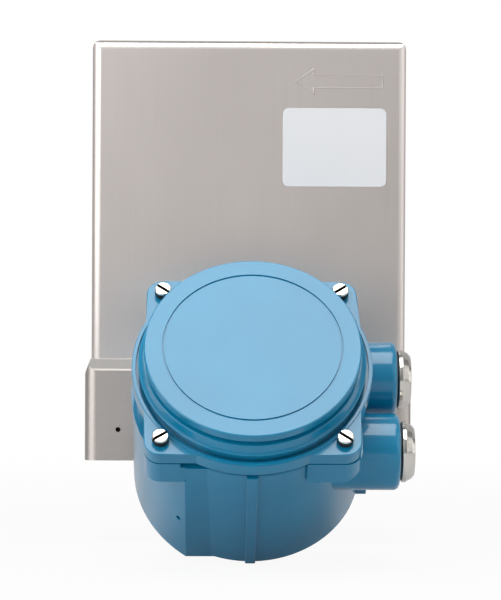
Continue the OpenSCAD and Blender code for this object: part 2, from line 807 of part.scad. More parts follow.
// Captive cheese-head screw; turn sets the slot
module cover_screw(x, y, turn) {
  seat = flange_top + washer_t + gap;
  color(nickel) head() translate([x * screw_p, y * screw_p, seat]) difference() {
    union() {
      rotate_extrude($fn = 48) polygon([
        [0, 0], [head_r, 0], [head_r, head_h - 0.5], [head_r - 0.5, head_h], [0, head_h],
      ]);
      translate([0, 0, -screw_len]) cylinder(r = screw_r, h = screw_len + 1, $fn = 48);
    }
    rotate([0, 0, turn]) translate([-6, -slot_w / 2, head_h - slot_d]) cube([12, slot_w, slot_d + 1]);
  }
}

module cover_screw_front_left() { cover_screw(-1, -1, 34); }

module cover_screw_front_right() { cover_screw(1, -1, -37); }

module cover_screw_rear_left() { cover_screw(-1, 1, -36); }

module cover_screw_rear_right() { cover_screw(1, 1, 36); }

// Blind screw plug with a coned head and a hexagon socket
module conduit_plug(y) {
  seat = boss_x + plug_gasket_t;
  face = seat + plug_t;
  color(nickel) head() translate([0, y, entry_z]) along_x() difference() {
    union() {
      rotate_extrude($fn = 96) polygon([
        [0, seat], [plug_rim_r - 0.4, seat], [plug_rim_r, seat + 0.4], [plug_rim_r, seat + 2.4],
        [plug_rim_r - 0.5, seat + 2.8], [plug_face_r + 1.7, face - 1.5], [plug_face_r, face],
        [0, face],
      ]);
      translate([0, 0, seat - 15]) cylinder(r = entry_r - 0.1, h = 16, $fn = 96);
    }
    translate([0, 0, face - 5]) cylinder(r = 6.9, h = 6, $fn = 6);
  }
}

module upper_conduit_plug() { conduit_plug(entry_y); }

module lower_conduit_plug() { conduit_plug(-entry_y); }

module plug_gasket(y) {
  color(black) head() translate([boss_x, y, entry_z]) along_x() difference() {
    cylinder(r = 15, h = plug_gasket_t, $fn = 96);
    translate([0, 0, -1]) cylinder(r = entry_r, h = plug_gasket_t + 2, $fn = 96);
  }
}

module upper_plug_gasket() { plug_gasket(entry_y); }

module lower_plug_gasket() { plug_gasket(-entry_y); }

// ---- nodes ----------------------------------------------------------------

sensor_case();
base_shroud();
bottom_plate();
name_plate();
inlet_manifold();
outlet_manifold();
manifold_spacer();
left_brace_bar();
right_brace_bar();
front_flow_tube();
rear_flow_tube();
drive_coil();
drive_magnet();
left_pickoff_coil();
left_pickoff_magnet();
right_pickoff_coil();
right_pickoff_magnet();
temperature_sensor();
feedthrough();
sensor_cable();
sensor_neck();
neck_gasket();
neck_bolts();
clamp_ring();
clamp_screw();
housing();
cover_seal();
core_module();
module_screws();
terminal_block();
ground_screw();
cover();
screw_washers();
cover_screw_front_left();
cover_screw_front_right();
cover_screw_rear_left();
cover_screw_rear_right();
upper_conduit_plug();
lower_conduit_plug();
upper_plug_gasket();
lower_plug_gasket();
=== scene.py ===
import json
from math import cos, pi, radians, sin

import bmesh
import bpy
from mathutils import Matrix, Vector
from mathutils.bvhtree import BVHTree
from mathutils.interpolate import poly_3d_calc


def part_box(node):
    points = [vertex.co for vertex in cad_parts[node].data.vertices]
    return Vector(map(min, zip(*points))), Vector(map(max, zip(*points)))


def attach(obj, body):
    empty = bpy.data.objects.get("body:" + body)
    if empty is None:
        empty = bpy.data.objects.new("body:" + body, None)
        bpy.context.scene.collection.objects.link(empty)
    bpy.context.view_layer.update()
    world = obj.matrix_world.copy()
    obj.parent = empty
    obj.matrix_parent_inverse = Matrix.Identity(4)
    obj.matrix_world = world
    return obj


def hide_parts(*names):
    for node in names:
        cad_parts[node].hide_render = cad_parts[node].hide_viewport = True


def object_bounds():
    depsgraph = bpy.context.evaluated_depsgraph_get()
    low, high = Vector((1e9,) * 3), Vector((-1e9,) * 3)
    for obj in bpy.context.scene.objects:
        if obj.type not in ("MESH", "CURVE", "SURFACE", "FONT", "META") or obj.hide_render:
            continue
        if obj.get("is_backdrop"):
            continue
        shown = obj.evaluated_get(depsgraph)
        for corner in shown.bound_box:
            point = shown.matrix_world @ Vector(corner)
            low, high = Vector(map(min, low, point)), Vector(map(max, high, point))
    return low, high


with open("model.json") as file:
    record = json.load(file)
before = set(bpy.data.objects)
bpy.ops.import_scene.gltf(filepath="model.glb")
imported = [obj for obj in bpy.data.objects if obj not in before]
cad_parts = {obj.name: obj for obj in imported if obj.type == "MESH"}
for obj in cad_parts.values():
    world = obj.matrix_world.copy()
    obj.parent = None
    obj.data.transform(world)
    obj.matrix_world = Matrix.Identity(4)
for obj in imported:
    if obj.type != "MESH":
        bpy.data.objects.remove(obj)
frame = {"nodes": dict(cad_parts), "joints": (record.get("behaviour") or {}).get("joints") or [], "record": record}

cadLow, cadHigh = (list(corner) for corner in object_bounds())
nodes = frame["nodes"]
bodyOf = {node: body for body, members in frame["record"]["behaviour"]["bodies"].items()
          for node in members}
slotOf = {part["node"]: part["material_slot"] for part in frame["record"]["subparts"]}
mm = 0.001

# Places taken from the frame

headTurn = next(joint for joint in frame["joints"] if joint["name"] == "head_turn")
headAxis = Vector(headTurn["axis"]).normalized()
caseLow, caseHigh = (Vector(corner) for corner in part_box("sensor_case"))
meterMiddle = Vector(((caseLow.x + caseHigh.x) / 2, 0, 0))
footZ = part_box("base_shroud")[0][2]


def axisFrame(origin, zAxis, xAxis=Vector((1, 0, 0))):
    # A matrix that puts a piece made along +z on the given axis
    yAxis = zAxis.cross(xAxis).normalized()
    turn = Matrix((yAxis.cross(zAxis), yAxis, zAxis)).transposed().to_4x4()
    return Matrix.Translation(origin) @ turn


headFrame = axisFrame(Vector(headTurn["pos_m"]), headAxis)
toHead = headFrame.inverted()       # z runs up the head's axis from its base, y up its back
toMeter = Matrix.Translation(-meterMiddle)
toPort = axisFrame(meterMiddle, Vector((1, 0, 0)), Vector((0, 1, 0))).inverted()


def linear(hexColour):
    # sRGB hex to the linear colour that shaders take
    channels = [int(hexColour[i:i + 2], 16) / 255 for i in (1, 3, 5)]
    return tuple(c / 12.92 if c <= 0.04045 else ((c + 0.055) / 1.055) ** 2.4 for c in channels) + (1,)


def addNode(tree, kind, inputs=None, stops=(), **settings):
    # A shader node with its settings, its inputs as values or links, and its colour stops
    node = tree.nodes.new(kind)
    for name, value in settings.items():
        setattr(node, name, value)
    for name, value in (inputs or {}).items():
        if isinstance(value, bpy.types.NodeSocket):
            tree.links.new(value, node.inputs[name])
        else:
            node.inputs[name].default_value = value
    for i, (position, colour) in enumerate(stops):
        node.color_ramp.elements[i].position = position
        node.color_ramp.elements[i].color = linear(colour)
    return node


def newMaterial(name):
    # An empty material with its output; returns both
    material = bpy.data.materials.new(name)
    material.use_nodes = True
    tree = material.node_tree
    tree.nodes.clear()
    return material, tree, tree.nodes.new("ShaderNodeOutputMaterial")


# Materials. Grain, grit and ripple are given by their real width in millimetres.

def brushedSteel(name, colour, shade, along, spread=0.75, roughness=0.34):
    # Stainless sheet brushed with a belt: lines too fine to see one by one smear the highlights
    # across the grain, and the sheet is faintly clouded. The lines are drawn 0.5 mm wide, which
    # is coarser than the real ones, so that a few of them show.
    material, tree, output = newMaterial(name)
    coords = addNode(tree, "ShaderNodeTexCoord").outputs["Object"]
    fine, long = 1 / (0.5 * mm), 1 / (70 * mm)
    across = {"Z": (fine, fine, long), "X": (long, fine, fine)}[along]
    lines = addNode(tree, "ShaderNodeMapping", {"Vector": coords, "Scale": across})
    scratch = addNode(tree, "ShaderNodeTexNoise", {
        "Vector": lines.outputs["Vector"], "Scale": 1.0, "Detail": 2.0, "Roughness": 0.6})
    cloud = addNode(tree, "ShaderNodeTexNoise", {
        "Vector": coords, "Scale": 1 / (91 * mm), "Detail": 2.0, "Roughness": 0.5})
    tone = addNode(tree, "ShaderNodeMath", {
        0: scratch.outputs["Fac"], 1: 0.5, 2: cloud.outputs["Fac"]}, operation="MULTIPLY_ADD")
    share = addNode(tree, "ShaderNodeMapRange", {
        "Value": tone.outputs["Value"], "From Min": 0.5, "From Max": 1.0})
    base = addNode(tree, "ShaderNodeValToRGB", {"Fac": share.outputs["Result"]},
                   [(0.0, shade), (1.0, colour)])
    rough = addNode(tree, "ShaderNodeMapRange", {
        "Value": scratch.outputs["Fac"], "From Min": 0.3, "From Max": 0.7,
        "To Min": roughness - 0.01, "To Max": roughness + 0.01})
    # The grain's direction: level on upright sheet, and along x where the sheet lies flat
    facing = addNode(tree, "ShaderNodeNewGeometry").outputs["Normal"]
    level = addNode(tree, "ShaderNodeVectorMath", {0: facing, 1: (0, 0, 1)},
                    operation="CROSS_PRODUCT")
    leaning = addNode(tree, "ShaderNodeVectorMath", {0: level.outputs["Vector"], 1: (0.05, 0, 0)},
                      operation="ADD")
    grain = addNode(tree, "ShaderNodeVectorMath", {0: leaning.outputs["Vector"]},
                    operation="NORMALIZE")
    shader = addNode(tree, "ShaderNodeBsdfPrincipled", {
        "Base Color": base.outputs["Color"], "Roughness": rough.outputs["Result"],
        "Metallic": 1.0, "Anisotropic": spread,
        "Anisotropic Rotation": {"Z": 0.0, "X": 0.25}[along],
        "Tangent": grain.outputs["Vector"]})
    tree.links.new(shader.outputs["BSDF"], output.inputs["Surface"])
    return material


def enamel(name, colour, deep):
    # Baked gloss enamel on die-cast aluminium: an even blue under a clear skin, with a slow
    # orange-peel ripple a few millimetres across
    material, tree, output = newMaterial(name)
    coords = addNode(tree, "ShaderNodeTexCoord").outputs["Object"]
    peel = addNode(tree, "ShaderNodeTexNoise", {
        "Vector": coords, "Scale": 1 / (2.4 * mm), "Detail": 1.0, "Roughness": 0.4})
    cloud = addNode(tree, "ShaderNodeTexNoise", {
        "Vector": coords, "Scale": 1 / (45 * mm), "Detail": 2.0, "Roughness": 0.5})
    base = addNode(tree, "ShaderNodeValToRGB", {"Fac": cloud.outputs["Fac"]},
                   [(0.35, deep), (0.65, colour)])
    bump = addNode(tree, "ShaderNodeBump", {
        "Height": peel.outputs["Fac"], "Strength": 0.12, "Distance": 0.06 * mm})
    shader = addNode(tree, "ShaderNodeBsdfPrincipled", {
        "Base Color": base.outputs["Color"], "Roughness": 0.3, "Specular IOR Level": 0.2,
        "Coat Weight": 0.85, "Coat Roughness": 0.1, "Coat IOR": 1.5,
        "Normal": bump.outputs["Normal"], "Coat Normal": bump.outputs["Normal"]})
    tree.links.new(shader.outputs["BSDF"], output.inputs["Surface"])
    return material


def platedMetal(name, colour, roughness, wear=0.05):
    # Plated or drawn metal: a bright colour with faint handling marks
    material, tree, output = newMaterial(name)
    coords = addNode(tree, "ShaderNodeTexCoord").outputs["Object"]
    marks = addNode(tree, "ShaderNodeTexNoise", {
        "Vector": coords, "Scale": 1 / (1.1 * mm), "Detail": 3.0, "Roughness": 0.6})
    rough = addNode(tree, "ShaderNodeMapRange", {
        "Value": marks.outputs["Fac"], "From Min": 0.35, "From Max": 0.65,
        "To Min": roughness, "To Max": roughness + wear})
    bump = addNode(tree, "ShaderNodeBump", {
        "Height": marks.outputs["Fac"], "Strength": 0.06, "Distance": 0.02 * mm})
    shader = addNode(tree, "ShaderNodeBsdfPrincipled", {
        "Base Color": linear(colour), "Roughness": rough.outputs["Result"], "Metallic": 1.0,
        "Normal": bump.outputs["Normal"]})
    tree.links.new(shader.outputs["BSDF"], output.inputs["Surface"])
    return material


def castMetal(name, colour, shade, grit, roughness=0.5):
    # Investment-cast steel, shot-blasted: a satin grey skin with a fine grit and darker pits
    material, tree, output = newMaterial(name)
    coords = addNode(tree, "ShaderNodeTexCoord").outputs["Object"]
    grain = addNode(tree, "ShaderNodeTexNoise", {
        "Vector": coords, "Scale": 1 / (grit * mm), "Detail": 4.0, "Roughness": 0.6})
    skin = addNode(tree, "ShaderNodeTexNoise", {
        "Vector": coords, "Scale": 1 / (16 * mm), "Detail": 3.0, "Roughness": 0.6})
    tone = addNode(tree, "ShaderNodeMath", {
        0: grain.outputs["Fac"], 1: 0.6, 2: skin.outputs["Fac"]}, operation="MULTIPLY_ADD")
    base = addNode(tree, "ShaderNodeValToRGB", {"Fac": tone.outputs["Value"]},
                   [(0.6, shade), (1.0, colour)])
    bump = addNode(tree, "ShaderNodeBump", {
        "Height": grain.outputs["Fac"], "Strength": 0.5, "Distance": 0.12 * mm})
    shader = addNode(tree, "ShaderNodeBsdfPrincipled", {
        "Base Color": base.outputs["Color"], "Roughness": roughness, "Metallic": 1.0,
        "Normal": bump.outputs["Normal"]})
    tree.links.new(shader.outputs["BSDF"], output.inputs["Surface"])
    return material


def plainSurface(name, colour, roughness, grit, strength=0.2):
    # Rubber, moulded plastic, ceramic, film, or steel with painted shade: one colour with a surface grit
    material, tree, output = newMaterial(name)
    coords = addNode(tree, "ShaderNodeTexCoord").outputs["Object"]
    noise = addNode(tree, "ShaderNodeTexNoise", {
        "Vector": coords, "Scale": 1 / (grit * mm), "Detail": 2.0, "Roughness": 0.5})
    bump = addNode(tree, "ShaderNodeBump", {
        "Height": noise.outputs["Fac"], "Strength": strength, "Distance": 0.04 * mm})
    rough = addNode(tree, "ShaderNodeMapRange", {
        "Value": noise.outputs["Fac"], "To Min": roughness - 0.06, "To Max": roughness + 0.06})
    shader = addNode(tree, "ShaderNodeBsdfPrincipled", {
        "Base Color": linear(colour), "Roughness": rough.outputs["Result"], "IOR": 1.5,
        "Normal": bump.outputs["Normal"]})
    tree.links.new(shader.outputs["BSDF"], output.inputs["Surface"])
    return material


finishes = {
    "case_steel": brushedSteel("brushedStainlessUpright", "#EAE2DD", "#E2DAD5", "Z"),
    "shroud_steel": brushedSteel("brushedStainlessLevel", "#C9C2BD", "#C1BAB5", "X", 0.45, 0.42),
    "plate_steel": brushedSteel("millFinishStainless", "#CFC9C4", "#C2BCB7", "X", 0.3, 0.42),
    "label_film": plainSurface("polyesterLabelFilm", "#DEDFE1", 0.32, 0.4, 0.05),
    "cast_steel": castMetal("blastedCastSteel", "#B4B0AA", "#8C8882", 0.5),
    "tube_steel": platedMetal("drawnStainlessTube", "#CFCCC6", 0.22),
    "coil_copper": platedMetal("varnishedCopperWinding", "#9A5530", 0.35),
    "magnet_steel": platedMetal("nickelPlatedMagnet", "#8A8A8C", 0.3),
    "sensor_ceramic": plainSurface("firedCeramic", "#D9D4C6", 0.5, 0.3),
    "glass_header": platedMetal("fusedGlassHeader", "#A9ADB0", 0.3),
    "cable_sheath": plainSurface("cableSheathPvc", "#3A3F46", 0.5, 0.3),
    "gasket_rubber": plainSurface("nitrileRubber", "#1C1D20", 0.6, 0.25),
    "zinc_steel": platedMetal("zincPlatedSteel", "#D2CEC8", 0.26),
    "blue_enamel": enamel("bakedBlueEnamel", "#0A80A8", "#087AA1"),
    "potting": plainSurface("mouldedNylonDark", "#2C3138", 0.5, 0.5),
    "terminal_plastic": plainSurface("mouldedNylonGreen", "#4A5A3C", 0.45, 0.5),
    "nickel": platedMetal("brightNickelPlate", "#DAD6CF", 0.12),
}
blackened = plainSurface("paintedShadeScrewSlot", "#1A1614", 0.55, 0.3)       # painted shade in the screw slots and on the lower side of the screw heads
pressed = brushedSteel("pressedStainlessLine", "#D6CEC9", "#CFC7C2", "Z")  # a little darker than the case's sheet
pickled = plainSurface("paintedShadeShoulderSteel", "#989490", 0.5, 0.6, 0.3)       # painted shade on the shroud's upward-sloping shoulders
print("materials made")


# Solids with softened edges

def mergedCopy(nodeName):
    # The node's own solid with its loose triangles joined and its flat faces whole
    bm = bmesh.new()
    bm.from_mesh(nodes[nodeName].data)
    bmesh.ops.remove_doubles(bm, verts=bm.verts, dist=2e-6)
    bmesh.ops.dissolve_limit(bm, angle_limit=radians(0.3), verts=bm.verts, edges=bm.edges)
    return bm


def near(value, target, within=0.3):
    return abs(value - target) < within


def localBox(nodeName, toLocal):
    # Lowest and highest corner of a node, in millimetres in the local frame
    points = [toLocal @ vertex.co / mm for vertex in nodes[nodeName].data.vertices]
    return tuple(Vector(limit(point[i] for point in points) for i in range(3))
                 for limit in (min, max))


def bevelEdges(bm, edges, radius, segments):
    bmesh.ops.bevel(bm, geom=edges, offset=radius * mm, offset_type="OFFSET", affect="EDGES",
                    segments=segments, profile=0.5, clamp_overlap=True, material=-1)


def roundEdges(bm, toLocal, radius, chosen, minAngle=50, segments=2):
    # Rounds the sharp outer edges that are chosen by their middle p and its distance r from the
    # axis, both in millimetres in the local frame
    sharp = []
    for edge in bm.edges:
        if len(edge.link_faces) != 2 or edge.calc_face_angle() < radians(minAngle):
            continue
        middle = toLocal @ ((edge.verts[0].co + edge.verts[1].co) / 2) / mm
        if edge.is_convex and chosen(middle, middle.xy.length):
            sharp.append(edge)
    bevelEdges(bm, sharp, radius, segments)


def cutThread(bm, toLocal, radius, low, high, pitch, depth):
    # Rings across a plain round wall, every other one moved out or in: a thread's grooves
    fromLocal = toLocal.inverted()
    axis = (fromLocal.to_3x3() @ Vector((0, 0, 1))).normalized()
    rings = 2 * int((high - low) / pitch)
    levels = [low + (high - low) * step / rings for step in range(1, rings)]

    def onWall(place):
        return near(place.xy.length, radius, 0.06)

    for level in levels:
        wall = []
        for face in bm.faces:
            places = [toLocal @ vertex.co / mm for vertex in face.verts]
            if all(onWall(p) and low - 0.02 < p.z < high + 0.02 for p in places):
                wall.append(face)
        edges = {edge for face in wall for edge in face.edges}
        corners = {vertex for face in wall for vertex in face.verts}
        bmesh.ops.bisect_plane(bm, geom=wall + list(edges) + list(corners), dist=1e-7,
                               plane_co=fromLocal @ Vector((0, 0, level * mm)), plane_no=axis)
    for vertex in bm.verts:
        place = toLocal @ vertex.co / mm
        if onWall(place) and any(near(place.z, level, 0.01) for level in levels[::2]):
            place.xy *= (radius + depth) / radius
            vertex.co = fromLocal @ (place * mm)


def restoreShading(mesh, source):
    # The node's corner normals are those of its true surfaces. Every face that is still on
    # such a surface takes them over, and the rounded edges run smoothly into these faces.
    places = [vertex.co for vertex in source.vertices]
    tree = BVHTree.FromPolygons(places, [polygon.vertices[:] for polygon in source.polygons])
    reach = 0.02 * mm
    sameWay = 0.995     # cosine between a face and the surface that it lies on
    runsInto = 0.7      # the same between a rounded edge and the flat that it runs into
    normals = [None] * len(mesh.loops)
    fromFlats = {}
    for polygon in mesh.polygons:
        for loop, corner in zip(polygon.loop_indices, polygon.vertices):
            place = mesh.vertices[corner].co
            inside = place.lerp(polygon.center, 0.02)
            found = [(normal.dot(polygon.normal), index)
                     for _, normal, index, _ in tree.find_nearest_range(inside, reach)]
            match, index = max(found, default=(0, 0))
            if match < sameWay:
                continue
            under = source.polygons[index]
            weights = poly_3d_calc([places[i] for i in under.vertices], place)
            normal = sum((source.corner_normals[i].vector * weight
                          for i, weight in zip(under.loop_indices, weights)), Vector())
            if normal.length > 0.1:
                normals[loop] = normal.normalized()
                fromFlats.setdefault(corner, []).append(normals[loop])
    rounded = {}
    for polygon in mesh.polygons:
        for loop, corner in zip(polygon.loop_indices, polygon.vertices):
            if normals[loop] is None:
                rounded.setdefault(corner, Vector())
                rounded[corner] += polygon.normal * polygon.area
    for polygon in mesh.polygons:
        for loop, corner in zip(polygon.loop_indices, polygon.vertices):
            if normals[loop] is None:
                nearest = max(fromFlats.get(corner, []), key=polygon.normal.dot, default=None)
                if nearest is None or nearest.dot(polygon.normal) < runsInto:
                    nearest = rounded[corner].normalized()
                normals[loop] = nearest
    mesh.normals_split_custom_set(normals)


def addPiece(bm, name, nodeName):
    # Turns a finished bmesh into a piece with the body and the finish of the node
    mesh = bpy.data.meshes.new(name)
    bm.to_mesh(mesh)
    bm.free()
    mesh.shade_smooth()
    mesh.materials.append(finishes[slotOf[nodeName]])
    piece = bpy.data.objects.new(name, mesh)
    bpy.context.scene.collection.objects.link(piece)
    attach(piece, bodyOf[nodeName])
    return piece


dressed = set()     # nodes that a dressed piece stands for


def dressNode(bm, nodeName):
    # Puts the finished copy in the node's place, with normals made for its new faces
    piece = addPiece(bm, nodeName + "_dressed", nodeName)
    mesh = piece.data
    if "custom_normal" in mesh.attributes:
        mesh.attributes.remove(mesh.attributes["custom_normal"])
    restoreShading(mesh, nodes[nodeName].data)
    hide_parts(nodeName)
    dressed.add(nodeName)
    return piece


# Head housing. Its places are in millimetres in the head's frame. The small numbers added to
# them below are tolerances, which keep each choice clear of the edges next to it.

rimZ = localBox("housing", toHead)[1].z
housingEdges = {
    "flat": 2.5,        # where the left flats cut the swollen flank
    "rib": 0.9,
    "earSide": 1.1,
    "ear": 0.7,         # round the ears' undersides
    "seam": 0.3,        # at the parting line with the cover
    "flank": 0.7,       # foot and top of the flank
}
housingForm = {
    "drum": 61.0,       # what stands proud of the drum is further out
    "collar": 58.5,
    "flatX": -34.3,
    "flankTop": 72.0,
    "ribHalf": 3.0,
    "earOuter": 55.3,   # the ears' sides, from the head's axis
    "earInner": 30.0,
    "earHeight": 16.1,
    "slopeX": 48.0,     # the front right ear's underside slopes up from here
    "slopeRise": 6.0,
}


def dressHousing():
    # One casting: every outer edge is rounded by the mould
    form = housingForm
    earFoot = rimZ - form["earHeight"]

    def flat(p, r):
        return near(p.x, form["flatX"], 0.6) and r > form["drum"] and 2 < p.z < form["flankTop"] - 2

    def rib(p, r):
        return near(p.x, 0, form["ribHalf"] + 0.1) and r > form["drum"] and 1.6 < p.z < rimZ - 3

    def earSide(p, r):
        isSide = any(near(abs(p.y), form[side], 0.2) for side in ("earOuter", "earInner"))
        return isSide and r > form["drum"] and earFoot - 1 < p.z < rimZ - 4

    def ear(p, r):
        isSlope = p.x > form["slopeX"] and p.y < -form["earInner"] \
            and earFoot < p.z < earFoot + form["slopeRise"] + 0.2
        return r > form["drum"] and (near(p.z, earFoot, 0.2) or isSlope)

    def seam(p, r):
        return r > form["collar"] - 0.6 and near(p.z, rimZ, 0.1)

    def flank(p, r):
        isEnd = near(p.z, 0, 0.1) or near(p.z, form["flankTop"], 0.1)
        return isEnd and p.x < form["flatX"] + 0.3 and r > form["drum"]

    bm = mergedCopy("housing")
    roundEdges(bm, toHead, housingEdges["flat"], flat, minAngle=30, segments=4)
    roundEdges(bm, toHead, housingEdges["rib"], rib, segments=3)
    roundEdges(bm, toHead, housingEdges["earSide"], earSide, minAngle=80, segments=3)
    roundEdges(bm, toHead, housingEdges["ear"], ear)
    roundEdges(bm, toHead, housingEdges["seam"], seam)
    roundEdges(bm, toHead, housingEdges["flank"], flank)
    dressNode(bm, "housing")


dressHousing()

# Cover

coverTop = localBox("cover", toHead)[1].z
flangeTop = localBox("screw_washers", toHead)[0].z
coverEdges = {
    "band": 0.5,        # the flared band's widest edge
    "rim": 0.45,        # both sides of the deep groove
    "lip": 0.15,
    "corner": 0.6,      # top of the flange at its square corners
    "arc": 0.15,        # and where it is round, beside the lip
    "under": 0.35,      # underside of the flange
    "groove": 0.12,     # thin groove in the top
}
coverForm = {
    "bandRadius": 58.9,
    "bandLevel": 4.5,       # above the flange
    "rimRadius": 55.8,
    "rimLevel": 5.1,        # below the top
    "wallRadius": 56.5,
    "wallLevel": 7.8,
    "lipHeight": 0.5,
    "flangeRadius": 62.3,
    "flangeThickness": 8.1,
    "grooveRadius": 46.4,
    "screwPitch": 46.7,     # of the screws, from both centre lines
}


def dressCover():
    # Turned dome on a square-and-round flange
    form = coverForm
    flangeFoot = flangeTop - form["flangeThickness"]

    def atScrew(p):
        return near(abs(p.x), form["screwPitch"], 4) and near(abs(p.y), form["screwPitch"], 4)

    def band(p, r):
        return near(r, form["bandRadius"]) and near(p.z, flangeTop + form["bandLevel"])

    def rim(p, r):
        return any(near(r, form[edge + "Radius"]) and near(p.z, coverTop - form[edge + "Level"])
                   for edge in ("rim", "wall"))

    def lip(p, r):
        return r > form["bandRadius"] and near(p.z, flangeTop + form["lipHeight"], 0.1)

    def corner(p, r):
        return r > form["flangeRadius"] + 0.5 and near(p.z, flangeTop, 0.1) and not atScrew(p)

    def arc(p, r):
        return near(r, form["flangeRadius"], 0.5) and near(p.z, flangeTop, 0.1)

    def under(p, r):
        return r > form["flangeRadius"] - 0.5 and near(p.z, flangeFoot, 0.1) and not atScrew(p)

    def groove(p, r):
        return r < form["grooveRadius"] + 0.6 and near(p.z, coverTop, 0.1)

    bm = mergedCopy("cover")
    roundEdges(bm, toHead, coverEdges["band"], band, segments=3)
    roundEdges(bm, toHead, coverEdges["rim"], rim, segments=3)
    roundEdges(bm, toHead, coverEdges["lip"], lip)
    roundEdges(bm, toHead, coverEdges["corner"], corner, segments=3)
    roundEdges(bm, toHead, coverEdges["arc"], arc)
    roundEdges(bm, toHead, coverEdges["under"], under)
    roundEdges(bm, toHead, coverEdges["groove"], groove)
    dressNode(bm, "cover")


dressCover()

# Cover screws and plugs

coverScrew = {
    "edge": 0.2,
    "slotEdge": 0.22,
    "headRadius": 4.3,
    "chamfer": 0.5,
    "slotDepth": 1.9,
    "unshadedSide": 1.1,       # height of the head's side above its painted shade
    "threadRadius": 2.5,
    "threadLength": 15,
    "threadDepth": 0.4,
    "pitch": 0.8,
}


def dressScrew(nodeName):
    # Cheese head with painted shade in its worn slot and on the lower part of its side, and a cut thread on the
    # shank
    size = coverScrew
    low, high = localBox(nodeName, toHead)
    middle = (low + high) / 2
    toScrew = Matrix.Translation(Vector((-middle.x, -middle.y, -high.z)) * mm) @ toHead
    topRadius = size["headRadius"] - size["chamfer"] - 0.2

    def headEdge(p, r):
        return r > topRadius and p.z > -size["chamfer"] - 0.1

    def slotEdge(p, r):
        return r < topRadius and p.z > -0.05

    bm = mergedCopy(nodeName)
    roundEdges(bm, toScrew, size["edge"], headEdge, minAngle=35)
    roundEdges(bm, toScrew, size["slotEdge"], slotEdge, minAngle=35, segments=1)
    cleanFoot = toScrew.inverted() @ Vector((0, 0, -size["unshadedSide"] * mm))
    bmesh.ops.bisect_plane(bm, geom=list(bm.verts) + list(bm.edges) + list(bm.faces), dist=1e-7,
                           plane_co=cleanFoot, plane_no=headAxis)
    foot = low.z - high.z
    cutThread(bm, toScrew, size["threadRadius"], foot, foot + size["threadLength"],
              size["pitch"], -size["threadDepth"])
    for face in bm.faces:
        centre = toScrew @ face.calc_center_median() / mm
        outward = toScrew.to_3x3() @ face.normal
        radius = centre.xy.length
        isWall = abs(outward.z) < 0.95 and radius < size["headRadius"] - size["chamfer"]
        isFloor = outward.z > 0.9 and centre.z < -1
        isSlot = centre.z > -size["slotDepth"] - 0.05 and (isWall or isFloor)
        isSide = abs(outward.z) < 0.3 and radius > size["headRadius"] - 0.3
        # the slot and the lower part of the head's side take the painted shade
        if isSlot or isSide and centre.z < -size["unshadedSide"]:
            face.material_index = 1
    dressNode(bm, nodeName).data.materials.append(blackened)


for nodeName in [name for name in nodes if name.startswith("cover_screw_")]:
    dressScrew(nodeName)

conduitPlug = {
    "edge": 0.3,
    "socketRadius": 7,
    "shankRadius": 12.4,
    "shankLength": 14,
    "threadLength": 12,
    "threadDepth": 0.8,
    "pitch": 1.5,
}


def dressPlug(nodeName):
    # Turned and plated blanking plug: soft edges, and a thread on its shank
    size = conduitPlug
    low, high = localBox(nodeName, toHead)
    middle = (low + high) / 2
    plugFrame = headFrame @ axisFrame(Vector((low.x, middle.y, middle.z)) * mm,
                                      Vector((1, 0, 0)), Vector((0, 1, 0)))
    toPlug = plugFrame.inverted()
    bm = mergedCopy(nodeName)
    roundEdges(bm, toPlug, size["edge"],
               lambda p, r: r > size["socketRadius"] and p.z > size["shankLength"], minAngle=20)
    cutThread(bm, toPlug, size["shankRadius"], 0, size["threadLength"], size["pitch"],
              -size["threadDepth"])
    dressNode(bm, nodeName)


for nodeName in ("upper_conduit_plug", "lower_conduit_plug"):
    dressPlug(nodeName)
print("head made")

# Label and flow arrow on the sensor case

label = {"edge": 0.1}


def dressLabel():
    # Bare film on the case's front
    bm = mergedCopy("name_plate")
    roundEdges(bm, Matrix.Identity(4), label["edge"], lambda p, r: True)
    dressNode(bm, "name_plate")


flowArrow = {
    "tip": 25.5,            # right of the case's middle
    "head": 37.0,
    "end": 76.2,
    "level": 215.0,         # above the shroud's foot
    "headHalf": 7.9,
    "shaftHalf": 4.0,
    "line": 0.9,            # width of the raised line
    "height": 0.15,
    "sunk": 0.02,           # into the sheet
    "edge": 0.1,
}


def makeArrow():
    # A plain flow arrow pressed out of the sheet as a raised outline
    size = flowArrow
    upperHalf = [(size["tip"], 0), (size["head"], size["headHalf"]),
                 (size["head"], size["shaftHalf"]), (size["end"], size["shaftHalf"])]
    outline = upperHalf + [(x, -z) for x, z in reversed(upperHalf[1:])]
    start = Vector((meterMiddle.x, caseLow.y + size["sunk"] * mm, footZ + size["level"] * mm))
    bm = bmesh.new()
    sheet = bm.faces.new([bm.verts.new(start + Vector((x, 0, z)) * mm) for x, z in outline])
    sheet.normal_update()       # the inset needs it
    bmesh.ops.inset_individual(bm, faces=[sheet], thickness=size["line"] * mm,
                               use_even_offset=True)
    bmesh.ops.delete(bm, geom=[sheet], context="FACES")
    raised = bmesh.ops.extrude_face_region(bm, geom=list(bm.faces))
    crest = [part for part in raised["geom"] if isinstance(part, bmesh.types.BMVert)]
    bmesh.ops.translate(bm, verts=crest, vec=Vector((0, -size["height"] * mm, 0)))
    bmesh.ops.recalc_face_normals(bm, faces=bm.faces)
    bevelEdges(bm, [edge for edge in bm.edges if all(v in crest for v in edge.verts)],
               size["edge"], 2)
    piece = addPiece(bm, "flow_arrow", "sensor_case")
    piece.data.set_sharp_from_angle(angle=radians(50))
    piece.data.materials[0] = pressed


dressLabel()
makeArrow()

# Base shroud

shroudEdges = {
    "shoulder": 1.2,
    "top": 0.25,
    "shoulderLow": 10.0,    # the shoulder's foot lies between these, below the top
    "shoulderHigh": 5.0,
    "shadedArea": 200.0,   # the shoulder's faces are larger, in square millimetres
}


